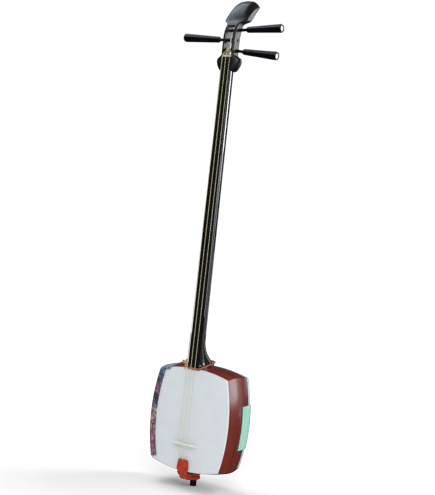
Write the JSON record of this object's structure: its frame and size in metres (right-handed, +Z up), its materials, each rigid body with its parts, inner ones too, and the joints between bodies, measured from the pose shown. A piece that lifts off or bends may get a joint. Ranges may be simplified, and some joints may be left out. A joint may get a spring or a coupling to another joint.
{
  "type": "shamisen",
  "caption": "Long-necked lute with a square skin-covered sound box, a bent-back headstock with side pegs, a loose bridge and a cord tailpiece.",
  "frame": {"origin": "centre of the end pin's lower end", "axes": "+Z up the neck towards the headstock, +X to the right seen from the front, +Y towards the back skin"},
  "size_m": [0.2245, 0.1001, 0.9885],
  "materials": {
    "boards": "glossy reddish brown lacquered hardwood with fine grain",
    "skins": "stretched pale hide, smooth, satin",
    "dark_wood": "near-black polished hardwood",
    "headstock": "near-black gloss lacquered hardwood",
    "spike": "dark hardwood, satin",
    "nut": "polished",
    "pegs": "black gloss",
    "peg_caps": "pale ivory colour, polished",
    "strings": "twisted pale yellow silk, waxed",
    "bridge": "ivory colour, polished",
    "tailpiece": "braided vermilion silk cord",
    "arm_cover": "woven brocade in steel blue, mauve and beige",
    "cover_cord": "twisted salmon-orange silk cord",
    "knee_mat": "mint green rubberised mesh"
  },
  "bodies": {
    "root": {"board_left": "boards", "board_right": "boards", "board_top": "boards", "board_bottom": "boards", "front_skin": "skins", "back_skin": "skins", "headstock": "headstock", "upper_neck": "dark_wood", "middle_neck": "dark_wood", "lower_neck": "dark_wood", "neck_spike": "spike", "nut": "nut", "string_1": "strings", "string_2": "strings", "string_3": "strings", "tailpiece_braid": "tailpiece", "tailpiece_loops": "tailpiece", "arm_cover": "arm_cover", "cover_cord": "cover_cord", "cover_knot": "cover_cord", "knee_mat": "knee_mat"},
    "bridge": {"bridge": "bridge"},
    "peg_low": {"peg_low": "pegs", "cap_low": "peg_caps", "winding_low": "strings"},
    "peg_middle": {"peg_middle": "pegs", "cap_middle": "peg_caps", "winding_middle": "strings"},
    "peg_high": {"peg_high": "pegs", "cap_high": "peg_caps", "winding_high": "strings"}
  },
  "joints": [
    {"name": "peg_low_turn", "type": "hinge", "parent": "root", "child": "peg_low", "pos_m": [0, -0.03, 0.8782], "axis": [0.9936, 0, -0.1132], "continuous": true},
    {"name": "peg_middle_turn", "type": "hinge", "parent": "root", "child": "peg_middle", "pos_m": [0, -0.029, 0.8982], "axis": [-0.9982, 0, 0.0593], "continuous": true},
    {"name": "peg_high_turn", "type": "hinge", "parent": "root", "child": "peg_high", "pos_m": [0, -0.0245, 0.919], "axis": [0.9998, 0, 0.0209], "continuous": true},
    {"name": "bridge_slide", "type": "slide", "parent": "root", "child": "bridge", "axis": [0, 0, 1], "range_m": [-0.002, 0.012]}
  ]
}
